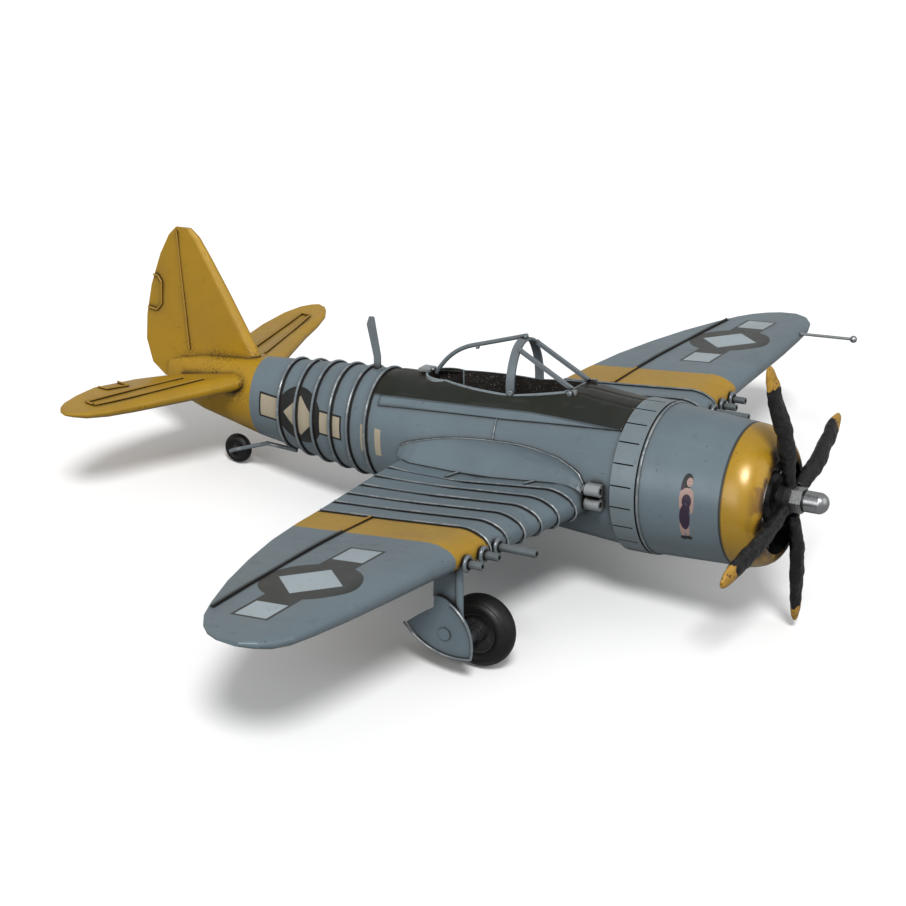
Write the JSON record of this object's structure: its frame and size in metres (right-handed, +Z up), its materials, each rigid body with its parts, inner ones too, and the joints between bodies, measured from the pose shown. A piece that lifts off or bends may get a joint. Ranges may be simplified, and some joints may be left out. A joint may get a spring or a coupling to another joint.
{
  "type": "propeller plane model",
  "caption": "Soldered sheet-metal and wire desk model of a radial-engine fighter plane with a spinning propeller and rolling wheels.",
  "frame": {"origin": "middle of the model's bounding box in plan, on the floor under the wheels", "axes": "+X to port along the wings, -Y towards the propeller, +Z up from the floor; the model stands tail down on its three wheels"},
  "size_m": [0.4136, 0.2834, 0.1023],
  "materials": {
    "grey_paint": "satin, worn",
    "yellow_paint": "satin, worn",
    "black_paint": "semi-gloss, hammered",
    "bare_wire": "worn, dark patina",
    "plated_steel": "polished",
    "tyre_rubber": "satin",
    "hub_grey": "satin"
  },
  "bodies": {
    "airframe": {"aileron_wires": "bare_wire", "antenna_mast": "grey_paint", "canopy_arch": "grey_paint", "canopy_lugs": "grey_paint", "canopy_spine": "grey_paint", "cockpit_coaming": "grey_paint", "cowl_bead_wire": "bare_wire", "cowl_flaps": "grey_paint", "cowl_skin": "grey_paint", "engine_crankcase": "black_paint", "engine_cylinders": "black_paint", "engine_plate": "black_paint", "engine_push_rods": "bare_wire", "fender_plate_left": "grey_paint", "fender_plate_right": "grey_paint", "fender_rim_wires": "bare_wire", "fin_and_rudder": "yellow_paint", "fin_wires": "yellow_paint", "fuselage_hoops": "bare_wire", "fuselage_skin": "grey_paint", "gear_doors": "grey_paint", "gear_strut_left": "grey_paint", "gear_strut_right": "grey_paint", "gun_barrels_left": "grey_paint", "gun_barrels_right": "grey_paint", "gun_collars": "bare_wire", "main_axle_left": "bare_wire", "main_axle_right": "bare_wire", "nose_ring": "yellow_paint", "pitot_tube": "grey_paint", "root_fairing_left": "grey_paint", "root_fairing_right": "grey_paint", "root_fittings": "grey_paint", "stabilizer_left": "yellow_paint", "stabilizer_right": "yellow_paint", "stabilizer_wires_left": "yellow_paint", "stabilizer_wires_right": "yellow_paint", "tail_axle": "bare_wire", "tail_cone_skin": "yellow_paint", "tail_wheel_arm": "bare_wire", "windscreen_struts": "grey_paint", "wing_left": "grey_paint", "wing_rib_wires_left": "bare_wire", "wing_rib_wires_right": "bare_wire", "wing_right": "grey_paint"},
    "propeller": {"propeller_hub": "black_paint", "propeller_nut": "plated_steel", "propeller_cap_nut": "plated_steel", "propeller_shaft": "plated_steel", "propeller_blade_1": "black_paint", "propeller_blade_2": "black_paint", "propeller_blade_3": "black_paint", "propeller_blade_4": "black_paint"},
    "main_wheel_left": {"main_wheel_left_tyre": "tyre_rubber", "main_wheel_left_hub": "hub_grey"},
    "main_wheel_right": {"main_wheel_right_tyre": "tyre_rubber", "main_wheel_right_hub": "hub_grey"},
    "tail_wheel": {"tail_wheel_tyre": "tyre_rubber", "tail_wheel_hub": "hub_grey"}
  },
  "joints": [
    {"name": "propeller_spin", "type": "hinge", "parent": "airframe", "child": "propeller", "pos_m": [0, -0.127, 0.05282], "axis": [0, 0.9912, -0.1323], "continuous": true},
    {"name": "main_wheel_left_spin", "type": "hinge", "parent": "airframe", "child": "main_wheel_left", "pos_m": [0.086, -0.06077, 0.0124], "axis": [1, 0, 0], "continuous": true},
    {"name": "main_wheel_right_spin", "type": "hinge", "parent": "airframe", "child": "main_wheel_right", "pos_m": [-0.086, -0.06077, 0.0124], "axis": [1, 0, 0], "continuous": true},
    {"name": "tail_wheel_spin", "type": "hinge", "parent": "airframe", "child": "tail_wheel", "pos_m": [0, 0.09522, 0.0057], "axis": [1, 0, 0], "continuous": true}
  ]
}
